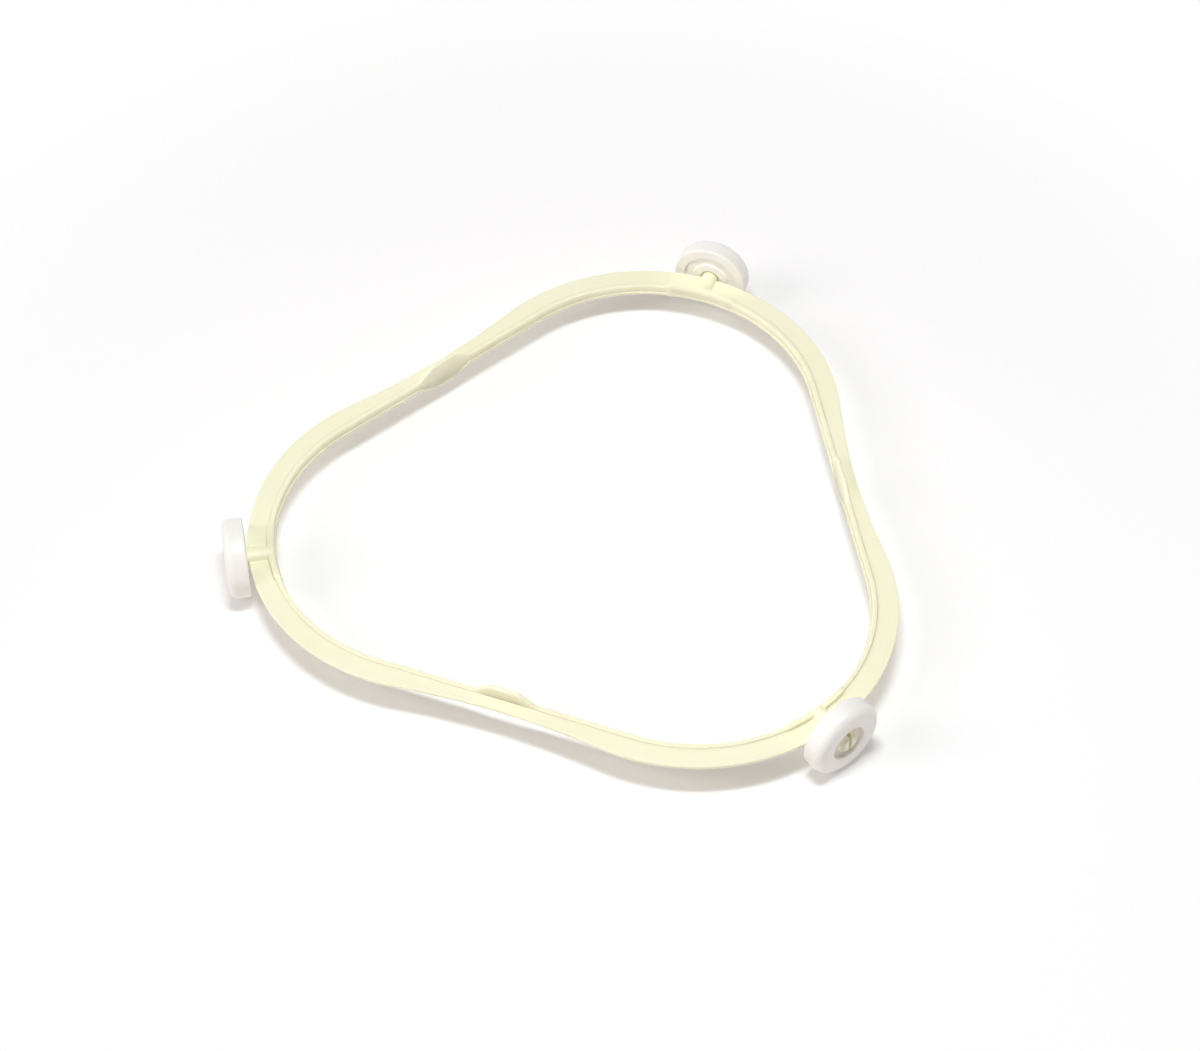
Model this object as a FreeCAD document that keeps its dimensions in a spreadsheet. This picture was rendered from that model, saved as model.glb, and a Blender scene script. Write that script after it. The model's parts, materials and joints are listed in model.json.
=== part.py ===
"""Roller ring of a microwave turntable, in millimetres.

One moulded ring with three lobes carries a roller on a stub axle at each lobe. The ring is centred
on the Z axis, the rollers stand on the plane z = 0, and the first lobe points along +Y.
"""
import FreeCAD
import Part
import Sketcher
import math
import os

LOBES = 3
LOBE_STEP = 360.0 / LOBES
FIRST_LOBE = 90.0
FIRST_WAIST = FIRST_LOBE + LOBE_STEP / 2
START, END, CENTRE = range(1, 4)
H_AXIS, V_AXIS = range(-1, -3, -1)
ORIGIN = (H_AXIS, START)

# Driving dimensions: name, millimetres, what it measures
DIMENSIONS = [
    ("roller_diameter", 18.2, "roller across its tread"),
    ("roller_width", 5.0, "roller from inner face to outer face"),
    ("inner_bevel", 0.4, "bevel of the tread on the ring's side"),
    ("outer_shoulder", 2.0, "rounding of the tread on the outer side"),
    ("hub_diameter", 8.8, "hub round the bore on the roller's inner face"),
    ("rim_depth", 2.5, "rim from the tread in to the sunk ring round that hub"),
    ("web_depth", 0.5, "depth of that sunk ring"),
    ("recess_diameter", 8.5, "round recess in the roller's outer face"),
    ("recess_depth", 1.5, "depth of that recess"),
    ("bore_lead", 0.3, "chamfer at both mouths of the bore"),
    ("axle_diameter", 4.0, "stub axle"),
    ("axle_clearance", 0.1, "radial gap between axle and bore"),
    ("end_play", 0.3, "gap from the roller to the flange edge and to the barb"),
    ("barb_rise", 0.5, "how far the snap barb stands out of the axle"),
    ("barb_land", 0.4, "straight length of the barb"),
    ("tip_length", 1.0, "tapered length of the snap tip"),
    ("slot_width", 0.9, "upright slot that splits the snap end"),
    ("slot_length", 4.4, "length of that slot"),
    ("lobe_reach", 80.0, "ring centre to the flange edge at a lobe"),
    ("lobe_radius", 45.8, "radius of the flange edge round a lobe"),
    ("waist_dip", 2.0, "hollow of the flange edge at a waist, below a straight side"),
    ("flange_thickness", 0.9, "flat outer flange"),
    ("lobe_shelf", 4.8, "flange from its edge to the wall at a lobe"),
    ("waist_shelf", 2.9, "flange from its edge to the wall at a waist"),
    ("wall_thickness", 1.05, "upright wall"),
    ("wall_rise", 0.8, "wall above the axle plane"),
    ("wall_drop", 1.65, "wall below the axle plane"),
    ("lip_width", 0.9, "lip inside the foot of wall and pads, and depth of the blocks there"),
    ("lip_thickness", 0.7, "thickness of that lip"),
    ("block_length", 18.0, "tall stretch of wall behind each axle"),
    ("block_rise", 1.75, "that stretch above the axle plane"),
    ("block_swell", 0.35, "extra thickness of that stretch on the flange side"),
    ("pad_length", 15.0, "tall six-sided stretch of wall at a waist, end to end"),
    ("pad_flat", 6.4, "full-height middle of that stretch"),
    ("pad_rise", 3.65, "that stretch above the axle plane"),
    ("pad_drop", 3.65, "that stretch below the axle plane"),
]


class Size:
    """A length that carries its value in millimetres and the sheet formula that drives it."""

    def __init__(self, value, formula):
        self.value = value
        self.formula = formula

    def __add__(self, other):
        return Size(self.value + other.value, f"({self.formula} + {other.formula})")

    def __sub__(self, other):
        return Size(self.value - other.value, f"({self.formula} - {other.formula})")

    def __mul__(self, factor):
        return Size(self.value * factor, f"({self.formula} * {factor!r})")

    def __truediv__(self, factor):
        return Size(self.value / factor, f"({self.formula} / {factor!r})")

    def __neg__(self):
        return self * -1


def fill_sheet(doc):
    """Write the driving dimensions into a sheet and return each as a Size by its name."""
    sheet = doc.addObject("Spreadsheet::Sheet", "sizes")
    sizes = {}
    for row, (name, value, meaning) in enumerate(DIMENSIONS, start=1):
        sheet.set(f"A{row}", meaning)
        sheet.set(f"B{row}", str(value))
        sheet.setAlias(f"B{row}", name)
        sizes[name] = Size(value, f"sizes.{name}")
    doc.recompute()
    return sizes


def new_body(doc, name):
    """Add an empty body whose label names its file."""
    body = doc.addObject("PartDesign::Body", name)
    body.Label = name
    return body


def origin_feature(body, role):
    """The body's own origin plane or axis with this role."""
    return next(item for item in body.Origin.OriginFeatures if item.Role == role)


def new_sketch(body, name, plane, offset_axis=None, offset=None):
    """Add a sketch on one of the body's planes, shifted along one of the sketch's own axes."""
    sketch = body.newObject("Sketcher::SketchObject", name)
    sketch.AttachmentSupport = [(origin_feature(body, plane), "")]
    sketch.MapMode = "FlatFace"
    if offset is not None:
        sketch.setExpression(f"AttachmentOffset.Base.{offset_axis}", offset.formula)
    return sketch


def drive(sketch, kind, *elements, size):
    """Add a dimension to a sketch and bind it to the sheet."""
    index = sketch.addConstraint(Sketcher.Constraint(kind, *elements, size.value))
    sketch.setExpression(f"Constraints[{index}]", size.formula)


def pin_point(sketch, element, point, x, y):
    """Dimension a point of a sketch element from the sketch's origin; None puts it on that axis."""
    if x is None:
        sketch.addConstraint(Sketcher.Constraint("PointOnObject", element, point, V_AXIS))
    else:
        drive(sketch, "DistanceX", *ORIGIN, element, point, size=x)
    if y is None:
        sketch.addConstraint(Sketcher.Constraint("PointOnObject", element, point, H_AXIS))
    else:
        drive(sketch, "DistanceY", *ORIGIN, element, point, size=y)


def vector(x, y):
    """The sketch position of two sizes, where None is zero."""
    return FreeCAD.Vector(x.value if x else 0.0, y.value if y else 0.0, 0.0)


def polar(reach, degrees):
    """The coordinates of a point at a distance and direction; one that is always zero is None."""
    nothing = 1e-9
    cosine = math.cos(math.radians(degrees))
    sine = math.sin(math.radians(degrees))
    x = reach * cosine if abs(cosine) > nothing else None
    y = reach * sine if abs(sine) > nothing else None
    return x, y


def polygon(sketch, corners):
    """Draw a closed outline of straight lines whose corners are pairs of sizes."""
    spots = [vector(x, y) for x, y in corners]
    lines = []
    for start, end in zip(spots, spots[1:] + spots[:1]):
        lines.append(sketch.addGeometry(Part.LineSegment(start, end), False))
    for line, following in zip(lines, lines[1:] + lines[:1]):
        sketch.addConstraint(Sketcher.Constraint("Coincident", line, END, following, START))
    for line, (x, y) in zip(lines, corners):
        pin_point(sketch, line, START, x, y)


def arc(centre, radius, first, last):
    """A counter-clockwise arc between two directions in degrees."""
    circle = Part.Circle(centre, FreeCAD.Vector(0, 0, 1), radius)
    return Part.ArcOfCircle(circle, math.radians(first), math.radians(last))


def straight_sided_loop(sketch, centre_reach, radius):
    """Draw three lobe arcs joined by straight tangent sides."""
    half_sweep = LOBE_STEP / 2
    arcs = []
    sides = []
    for lobe in range(LOBES):
        angle = FIRST_LOBE + lobe * LOBE_STEP
        x, y = polar(centre_reach, angle)
        arcs.append(sketch.addGeometry(
            arc(vector(x, y), radius.value, angle - half_sweep, angle + half_sweep), False))
        pin_point(sketch, arcs[-1], CENTRE, x, y)
        drive(sketch, "Radius", arcs[-1], size=radius)
    for lobe in range(LOBES):
        start = sketch.getPoint(arcs[lobe], END)
        end = sketch.getPoint(arcs[(lobe + 1) % LOBES], START)
        sides.append(sketch.addGeometry(Part.LineSegment(start, end), False))
    for lobe in range(LOBES):
        following = arcs[(lobe + 1) % LOBES]
        sketch.addConstraint(Sketcher.Constraint("Tangent", arcs[lobe], END, sides[lobe], START))
        sketch.addConstraint(Sketcher.Constraint("Tangent", sides[lobe], END, following, START))


def waisted_loop(sketch, reach, radius, waist):
    """Draw three lobe arcs joined by hollow waist arcs that touch them smoothly."""
    centre_reach = reach - radius
    c, r, w = centre_reach.value, radius.value, waist.value
    waist_radius = (r * r - c * c - w * w + c * w) / (2 * w - c - 2 * r)
    waist_centre = w + waist_radius
    step = math.radians(LOBE_STEP / 2)
    # Direction from a lobe's centre to the next waist's centre, measured from the lobe's own direction
    lean = math.degrees(math.atan2(waist_centre * math.sin(step), waist_centre * math.cos(step) - c))
    # Half of the waist arc, seen from its own centre
    half_waist = lean - LOBE_STEP / 2
    lobes = []
    waists = []
    for lobe in range(LOBES):
        angle = FIRST_LOBE + lobe * LOBE_STEP
        x, y = polar(centre_reach, angle)
        lobes.append(sketch.addGeometry(arc(vector(x, y), r, angle - lean, angle + lean), False))
        pin_point(sketch, lobes[-1], CENTRE, x, y)
        drive(sketch, "Radius", lobes[-1], size=radius)
    for lobe in range(LOBES):
        angle = FIRST_WAIST + lobe * LOBE_STEP
        away = FreeCAD.Vector(math.cos(math.radians(angle)), math.sin(math.radians(angle)), 0)
        facing = angle + 180.0
        waists.append(sketch.addGeometry(
            arc(away * waist_centre, waist_radius, facing - half_waist, facing + half_waist), False))
        x, y = polar(waist, angle)
        mark = sketch.addGeometry(Part.Point(vector(x, y)), True)
        pin_point(sketch, mark, START, x, y)
        sketch.addConstraint(Sketcher.Constraint("PointOnObject", mark, START, waists[-1]))
    for lobe in range(LOBES):
        following = lobes[(lobe + 1) % LOBES]
        sketch.addConstraint(Sketcher.Constraint("Tangent", lobes[lobe], END, waists[lobe], END))
        sketch.addConstraint(Sketcher.Constraint("Tangent", waists[lobe], START, following, START))


def lobe_band(sketch, centre_reach, outside, inside, half):
    """Draw a band between two arcs of the first lobe, with straight ends at both sides of its axis."""
    arcs = []
    for radius in (outside, inside):
        lean = math.degrees(math.asin(half.value / radius.value))
        arcs.append(sketch.addGeometry(
            arc(vector(None, centre_reach), radius.value, FIRST_LOBE - lean, FIRST_LOBE + lean), False))
        pin_point(sketch, arcs[-1], CENTRE, None, centre_reach)
        drive(sketch, "Radius", arcs[-1], size=radius)
    outer_arc, inner_arc = arcs
    for point, side in ((START, half), (END, -half)):
        edge = Part.LineSegment(sketch.getPoint(outer_arc, point), sketch.getPoint(inner_arc, point))
        line = sketch.addGeometry(edge, False)
        sketch.addConstraint(Sketcher.Constraint("Coincident", outer_arc, point, line, START))
        sketch.addConstraint(Sketcher.Constraint("Coincident", line, END, inner_arc, point))
        sketch.addConstraint(Sketcher.Constraint("Vertical", line))
        drive(sketch, "DistanceX", *ORIGIN, line, START, size=side)


def pad(body, name, sketch, length, midplane=False):
    """Raise a sketch by a size."""
    feature = body.newObject("PartDesign::Pad", name)
    feature.Profile = sketch
    feature.setExpression("Length", length.formula)
    feature.Midplane = midplane
    return feature


def cut_through(body, name, sketch):
    """Cut a sketch right through the body, both ways."""
    feature = body.newObject("PartDesign::Pocket", name)
    feature.Profile = sketch
    feature.Type = "ThroughAll"
    feature.Midplane = True
    return feature


def turn(body, name, sketch):
    """Turn a half section about the sketch's horizontal axis."""
    feature = body.newObject("PartDesign::Revolution", name)
    feature.Profile = sketch
    feature.ReferenceAxis = (sketch, ["H_Axis"])
    feature.Angle = 360.0
    return feature


def repeat_on_lobes(body, name, features):
    """Repeat features on every lobe, round the ring's upright axis."""
    pattern = body.newObject("PartDesign::PolarPattern", name)
    pattern.Originals = features
    pattern.Axis = (origin_feature(body, "Z_Axis"), [""])
    pattern.Angle = 360.0
    pattern.Occurrences = LOBES
    body.Tip = pattern
    return pattern


class RollerRing:
    """Sizes shared by the ring and its rollers, and the features made from them."""

    def __init__(self, doc, sizes):
        self.doc = doc
        self.sizes = sizes
        self.axle_height = sizes["roller_diameter"] / 2
        self.axle_radius = sizes["axle_diameter"] / 2
        # The flange's waists hang below the straight line that touches two lobes
        self.waist_reach = (sizes["lobe_reach"] + sizes["lobe_radius"]) / 2 - sizes["waist_dip"]
        self.wall_reach = sizes["lobe_reach"] - sizes["lobe_shelf"]
        self.wall_side = self.waist_reach - sizes["waist_shelf"]
        # The wall's straight sides touch lobe arcs about these centres
        self.wall_centre = (self.wall_reach - self.wall_side) * 2
        self.wall_radius = self.wall_reach - self.wall_centre
        self.wall_inside = self.wall_radius - sizes["wall_thickness"]
        self.lip_inside = self.wall_inside - sizes["lip_width"]
        self.wall_foot = self.axle_height - sizes["wall_drop"]
        self.wall_top = self.axle_height + sizes["wall_rise"]
        # The roller runs between the flange's edge and the barb
        self.roller_start = sizes["lobe_reach"] + sizes["end_play"]
        self.recess_floor = sizes["roller_width"] - sizes["recess_depth"]
        self.barb_start = self.roller_start + self.recess_floor + sizes["end_play"]
        self.axle_end = self.barb_start + sizes["barb_land"] + sizes["tip_length"]

    def build_ring(self):
        """The moulded ring with its wall, lip, flange, blocks, pads and stub axles."""
        body = new_body(self.doc, "roller_ring")
        self.add_lip(body)
        self.add_wall(body)
        self.add_flange(body)
        self.add_blocks(body)
        self.add_pads(body)
        self.add_axles(body)
        return body

    def add_lip(self, body):
        """The lip inside the wall's foot, broken at each pad, where it dips."""
        sketch = new_sketch(body, "lip_plan", "XY_Plane", "z", self.wall_foot)
        straight_sided_loop(sketch, self.wall_centre, self.wall_radius)
        straight_sided_loop(sketch, self.wall_centre, self.lip_inside)
        pad(body, "lip", sketch, self.sizes["lip_thickness"])
        gap = new_sketch(body, "lip_gap_plan", "XY_Plane")
        half = self.sizes["pad_length"] / 2
        outer = -self.sizes["lobe_reach"]
        inner = outer / 2
        polygon(gap, [(-half, inner), (half, inner), (half, outer), (-half, outer)])
        repeat_on_lobes(body, "lip_gaps", [cut_through(body, "lip_gap", gap)])

    def add_wall(self, body):
        """The upright wall all the way round."""
        sketch = new_sketch(body, "wall_plan", "XY_Plane", "z", self.wall_foot)
        straight_sided_loop(sketch, self.wall_centre, self.wall_radius)
        straight_sided_loop(sketch, self.wall_centre, self.wall_inside)
        body.Tip = pad(body, "wall", sketch, self.sizes["wall_drop"] + self.sizes["wall_rise"])

    def add_flange(self, body):
        """The flat flange outside the wall, level with the axles."""
        sketch = new_sketch(body, "flange_plan", "XY_Plane", "z", self.axle_height)
        waisted_loop(sketch, self.sizes["lobe_reach"], self.sizes["lobe_radius"], self.waist_reach)
        straight_sided_loop(sketch, self.wall_centre, self.wall_radius - self.sizes["wall_thickness"] / 2)
        body.Tip = pad(body, "flange", sketch, self.sizes["flange_thickness"], midplane=True)

    def add_blocks(self, body):
        """The taller, thicker stretch of wall behind each axle, flush with the lip inside."""
        half = self.sizes["block_length"] / 2
        outside = self.wall_radius + self.sizes["block_swell"]
        plan = new_sketch(body, "block_plan", "XY_Plane", "z", self.wall_foot)
        lobe_band(plan, self.wall_centre, outside, self.lip_inside, half)
        block = pad(body, "block", plan, self.sizes["wall_drop"] + self.sizes["block_rise"])
        repeat_on_lobes(body, "blocks", [block])

    def add_pads(self, body):
        """The six-sided taller stretch of wall at each waist, with the lip along its lower edge."""
        end = self.sizes["pad_length"] / 2
        flat = self.sizes["pad_flat"] / 2
        crown = self.axle_height + self.sizes["pad_rise"]
        foot = self.axle_height - self.sizes["pad_drop"]
        below = [(-end, self.wall_foot), (-flat, foot), (flat, foot), (end, self.wall_foot)]
        above = [(end, self.wall_top), (flat, crown), (-flat, crown), (-end, self.wall_top)]
        inside = self.wall_side - self.sizes["wall_thickness"]
        face = new_sketch(body, "pad_face", "XZ_Plane", "z", inside)
        polygon(face, below + above)
        plate = pad(body, "pad", face, self.sizes["wall_thickness"])
        lip_face = new_sketch(body, "pad_lip_face", "XZ_Plane", "z", inside - self.sizes["lip_width"])
        lip_above = [(x, y + self.sizes["lip_thickness"]) for x, y in reversed(below)]
        polygon(lip_face, below + lip_above)
        lip = pad(body, "pad_lip", lip_face, self.sizes["lip_width"] + self.sizes["wall_thickness"] / 2)
        repeat_on_lobes(body, "pads", [plate, lip])

    def add_axles(self, body):
        """The stub axles, each ending in a split barb that snaps into its roller."""
        sketch = new_sketch(body, "axle_section", "YZ_Plane", "y", self.axle_height)
        root = self.wall_centre + self.wall_radius - self.sizes["wall_thickness"] / 2
        barb = self.axle_radius + self.sizes["barb_rise"]
        tip = self.axle_radius - self.sizes["barb_rise"]
        land_end = self.barb_start + self.sizes["barb_land"]
        snap_end = [(self.axle_end, tip), (land_end, barb), (self.barb_start, barb)]
        shaft = [(self.barb_start, self.axle_radius), (root, self.axle_radius)]
        polygon(sketch, [(root, None), (self.axle_end, None)] + snap_end + shaft)
        axle = turn(body, "axle", sketch)
        half = self.sizes["slot_width"] / 2
        slot = new_sketch(body, "axle_slot_plan", "XY_Plane")
        inner = self.axle_end - self.sizes["slot_length"]
        outer = self.axle_end + self.sizes["slot_width"]
        polygon(slot, [(-half, inner), (half, inner), (half, outer), (-half, outer)])
        repeat_on_lobes(body, "axles", [axle, cut_through(body, "axle_slot", slot)])

    def build_roller(self, lobe):
        """One moulded roller, turned about its own +Y axis and set on its axle."""
        body = new_body(self.doc, f"roller_{lobe + 1}")
        sketch = new_sketch(body, "roller_section", "YZ_Plane")
        sizes = self.sizes
        tread = sizes["roller_diameter"] / 2
        bore = self.axle_radius + sizes["axle_clearance"]
        lead = bore + sizes["bore_lead"]
        hub = sizes["hub_diameter"] / 2
        rim = tread - sizes["rim_depth"]
        web = sizes["web_depth"]
        recess = sizes["recess_diameter"] / 2
        bevel = sizes["inner_bevel"]
        width = sizes["roller_width"]
        floor = self.recess_floor
        bore_side = [(sizes["bore_lead"], bore), (floor - sizes["bore_lead"], bore), (floor, lead)]
        outer_side = [(floor, recess), (width, recess), (width, tread)]
        inner_side = [(bevel, tread), (None, tread - bevel), (None, rim), (web, rim), (web, hub)]
        polygon(sketch, bore_side + outer_side + inner_side + [(None, hub), (None, lead)])
        wheel = turn(body, "roller_turned", sketch)
        self.doc.recompute()
        self.round_tread(body, wheel)
        self.place_roller(body, lobe)
        return body

    def round_tread(self, body, wheel):
        """Round the roller where its tread meets its outer face."""
        near = 1e-4
        rims = []
        for number, edge in enumerate(wheel.Shape.Edges, start=1):
            if isinstance(edge.Curve, Part.Circle):
                on_tread = abs(edge.Curve.Radius - self.sizes["roller_diameter"].value / 2) < near
                on_face = abs(edge.Curve.Center.y - self.sizes["roller_width"].value) < near
                if on_tread and on_face:
                    rims.append(f"Edge{number}")
        feature = body.newObject("PartDesign::Fillet", "outer_tread")
        feature.Base = (wheel, rims)
        feature.setExpression("Radius", self.sizes["outer_shoulder"].formula)
        body.Tip = feature

    def place_roller(self, body, lobe):
        """Set a roller on the axle of its lobe."""
        angle = FIRST_LOBE + lobe * LOBE_STEP
        turned = FreeCAD.Rotation(FreeCAD.Vector(0, 0, 1), angle - FIRST_LOBE)
        body.Placement = FreeCAD.Placement(FreeCAD.Vector(), turned)
        for axis, size in zip("xyz", (*polar(self.roller_start, angle), self.axle_height)):
            if size is not None:
                body.setExpression(f"Placement.Base.{axis}", size.formula)


def check(doc, bodies):
    """Stop if any feature failed or any sub-part isn't one valid solid."""
    for item in doc.Objects:
        if "Invalid" in item.State or "Error" in item.State:
            raise RuntimeError(f"{item.Label} failed: {item.State}")
    for body in bodies:
        shape = body.Shape
        if shape.isNull() or not shape.isValid() or len(shape.Solids) != 1:
            raise RuntimeError(f"{body.Label} isn't one valid solid")


def main():
    """Build the ring and its rollers and write each to its own file."""
    doc = FreeCAD.newDocument("roller_ring")
    design = RollerRing(doc, fill_sheet(doc))
    bodies = [design.build_ring()]
    for lobe in range(LOBES):
        bodies.append(design.build_roller(lobe))
    doc.recompute()
    check(doc, bodies)
    os.makedirs("parts", exist_ok=True)
    for body in bodies:
        body.Shape.exportStep(f"parts/{body.Label}.step")
        box = body.Shape.optimalBoundingBox()
        print(f"{body.Label}: {body.Shape.Volume:.1f} mm3, "
              f"{box.XLength:.2f} x {box.YLength:.2f} x {box.ZLength:.2f} mm")


main()
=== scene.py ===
"""Looks of a microwave roller ring: a lobed cream moulding that carries three white rollers.

Lengths are in metres. The ring is centred on the Z axis, the rollers stand on z = 0 and the first lobe
points along +Y.
"""
import json
import logging
import math
from dataclasses import asdict, dataclass
from enum import Enum
from types import MappingProxyType
from typing import Any, Mapping, Sequence, Union

import bpy
from mathutils import Matrix, Vector


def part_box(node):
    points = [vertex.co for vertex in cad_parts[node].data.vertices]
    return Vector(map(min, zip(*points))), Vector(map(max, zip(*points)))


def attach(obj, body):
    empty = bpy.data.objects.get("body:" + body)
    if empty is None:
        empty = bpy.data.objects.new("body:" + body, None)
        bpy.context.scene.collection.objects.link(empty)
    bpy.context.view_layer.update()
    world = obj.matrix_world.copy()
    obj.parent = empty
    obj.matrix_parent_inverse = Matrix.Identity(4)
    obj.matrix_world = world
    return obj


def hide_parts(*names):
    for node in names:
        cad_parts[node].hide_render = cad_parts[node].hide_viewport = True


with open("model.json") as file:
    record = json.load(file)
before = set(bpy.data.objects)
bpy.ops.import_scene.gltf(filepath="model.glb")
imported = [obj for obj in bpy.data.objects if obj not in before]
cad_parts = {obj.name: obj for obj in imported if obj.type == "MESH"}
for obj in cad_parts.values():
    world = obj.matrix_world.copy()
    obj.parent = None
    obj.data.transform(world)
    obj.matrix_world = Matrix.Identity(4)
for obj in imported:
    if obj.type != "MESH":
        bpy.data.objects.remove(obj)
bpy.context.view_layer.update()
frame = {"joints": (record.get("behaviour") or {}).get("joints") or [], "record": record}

LOG = logging.getLogger("roller_ring")
MM = 0.001
LOBES = 3
LOBE_STEP = math.tau / LOBES
HALF_STEP = LOBE_STEP / 2
FIRST_LOBE = math.pi / 2
SHARP_ANGLE = math.radians(38.0)
MERGE_DISTANCE = 0.001 * MM

Key = Union[str, int]
Colour = tuple[float, float, float]
NONE_GIVEN: Mapping[Any, Any] = MappingProxyType({})


class Slot(Enum):
    """Material slots of the record."""

    RING = "ring_plastic"
    ROLLER = "roller_plastic"


class Follows(Enum):
    """What a corner of the ring's section follows on its way round the ring."""

    CREST = "rises over blocks and pads"
    FOOT = "drops under the pads"
    SWELL = "moves out at the blocks"
    SLOPE = "moves to the middle of the blocks' sloping inner face"
    TOE = "moves from the lip's edge to the foot of that face, and draws in under the pads"
    RIM = "keeps to the flange's edge"
    ROUND = "gets rounder at the pads"
    # The next two mark where shade is painted into the colour: the grime that their values speak of is
    # painted shade.
    INSIDE = "gathers grime, as the wall's inner foot and the snap tips do"
    ROOT = "gathers a line of grime at the wall's outer foot"


class Side(Enum):
    """Side of a circle, seen from the ring's centre."""

    FAR = 1.0
    NEAR = -1.0


class Mark(Enum):
    """Attributes of a mesh that its finish reads, to paint shade into its colour."""

    GRIME = "foot_grime"
    LINE = "root_line"


def find_socket(sockets: bpy.types.bpy_prop_collection, key: Key) -> bpy.types.NodeSocket:
    """Find a socket of a node.

    Args:
        sockets: the node's inputs or outputs.
        key: an index, an identifier or a name.

    Returns:
        The socket; an identifier is tried before a name.
    """
    for socket in sockets:
        if socket.identifier == key:
            return socket
    return sockets[key]


@dataclass(frozen=True)
class Value:
    """An output socket of a node; arithmetic on it adds Math nodes.

    Attributes:
        graph: the tree that the node is in.
        node: the node.
        output: the socket's index, identifier or name.
    """

    graph: "Graph"
    node: bpy.types.Node
    output: Key = 0

    @property
    def socket(self) -> bpy.types.NodeSocket:
        """The socket itself."""
        return find_socket(self.node.outputs, self.output)

    def __add__(self, other: "Operand") -> "Value":
        """This plus another."""
        return self.graph.maths("ADD", self, other)

    def __radd__(self, other: "Operand") -> "Value":
        """Another plus this."""
        return self.graph.maths("ADD", other, self)

    def __sub__(self, other: "Operand") -> "Value":
        """This less another."""
        return self.graph.maths("SUBTRACT", self, other)

    def __rsub__(self, other: "Operand") -> "Value":
        """Another less this."""
        return self.graph.maths("SUBTRACT", other, self)

    def __mul__(self, other: "Operand") -> "Value":
        """This times another."""
        return self.graph.maths("MULTIPLY", self, other)

    def __rmul__(self, other: "Operand") -> "Value":
        """Another times this."""
        return self.graph.maths("MULTIPLY", other, self)

    def __truediv__(self, other: "Operand") -> "Value":
        """This over another."""
        return self.graph.maths("DIVIDE", self, other)

    def __rtruediv__(self, other: "Operand") -> "Value":
        """Another over this."""
        return self.graph.maths("DIVIDE", other, self)

    def __gt__(self, other: "Operand") -> "Value":
        """One where this is greater, else zero."""
        return self.graph.maths("GREATER_THAN", self, other)

    def __neg__(self) -> "Value":
        """This with its sign turned."""
        return 0.0 - self

    def out(self, name: str) -> "Value":
        """Another output of the same node."""
        return Value(self.graph, self.node, name)


Operand = Union[Value, float]


class Graph:
    """A node tree that is being built."""

    def __init__(self, tree: bpy.types.NodeTree) -> None:
        """Keep the tree."""
        self.tree = tree

    def node(self, kind: str, settings: Mapping[str, Any] = NONE_GIVEN,
             inputs: Mapping[Key, Any] = NONE_GIVEN, output: Key = 0) -> Value:
        """Add a node.

        Args:
            kind: the node's type.
            settings: its own properties, which are set first.
            inputs: a value, a link or several links for each socket named.
            output: the output that is wanted.

        Returns:
            The wanted output; a node that ends a tree has none, and nothing asks for it.
        """
        made = self.tree.nodes.new(kind)
        for name, setting in settings.items():
            if name == "branches":
                while len(made.index_switch_items) < setting:
                    made.index_switch_items.new()
            elif name == "captured":
                made.capture_items.new(setting, name)
            else:
                setattr(made, name, setting)
        for key, given in inputs.items():
            socket = find_socket(made.inputs, key)
            if isinstance(given, Value):
                self.tree.links.new(given.socket, socket)
            elif isinstance(given, list):
                for one in given:
                    self.tree.links.new(one.socket, socket)
            else:
                socket.default_value = given
        return Value(self, made, output)

    def maths(self, operation: str, *operands: Operand) -> Value:
        """Add a Math node on one to three values."""
        return self.node("ShaderNodeMath", {"operation": operation}, dict(enumerate(operands)))

    def between(self, value: Operand, start: Operand, end: Operand, first: Operand = 0.0,
                last: Operand = 1.0) -> Value:
        """Map a value from start and end to first and last, and hold it at both."""
        limits = {"Value": value, "From Min": start, "From Max": end, "To Min": first, "To Max": last}
        return self.node("ShaderNodeMapRange", {"clamp": True}, limits)

    def soft_clamp(self, value: Operand, softness: float) -> Value:
        """Hold a value between 0 and 1, with rounded corners at both."""
        floored = self.maths("SMOOTH_MAX", value, 0.0, softness)
        return self.maths("SMOOTH_MIN", floored, 1.0, softness)

    def vector(self, x: Operand, y: Operand, z: Operand) -> Value:
        """Join three values into a vector."""
        return self.node("ShaderNodeCombineXYZ", {}, {"X": x, "Y": y, "Z": z})


@dataclass(frozen=True)
class Corner:
    """One corner of a section.

    Attributes:
        across: its place along the section's first axis.
        up: its place along the section's second axis.
        rounding: radius of the corner.
        follows: what moves the corner along the path.
        steps: faces round the corner.
    """

    across: Operand
    up: Operand
    rounding: Operand
    follows: tuple[Follows, ...] = ()
    steps: int = 4


@dataclass(frozen=True)
class Loft:
    """A closed skin of sections, before its points are put in place.

    Attributes:
        mesh: the skin.
        across: each point's place along its section's first axis.
        up: its place along the second axis.
        corner: number of the corner that the point rounds.
        station: number of the section that the point is in.
    """

    mesh: Value
    across: Value
    up: Value
    corner: Value
    station: Value


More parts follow.
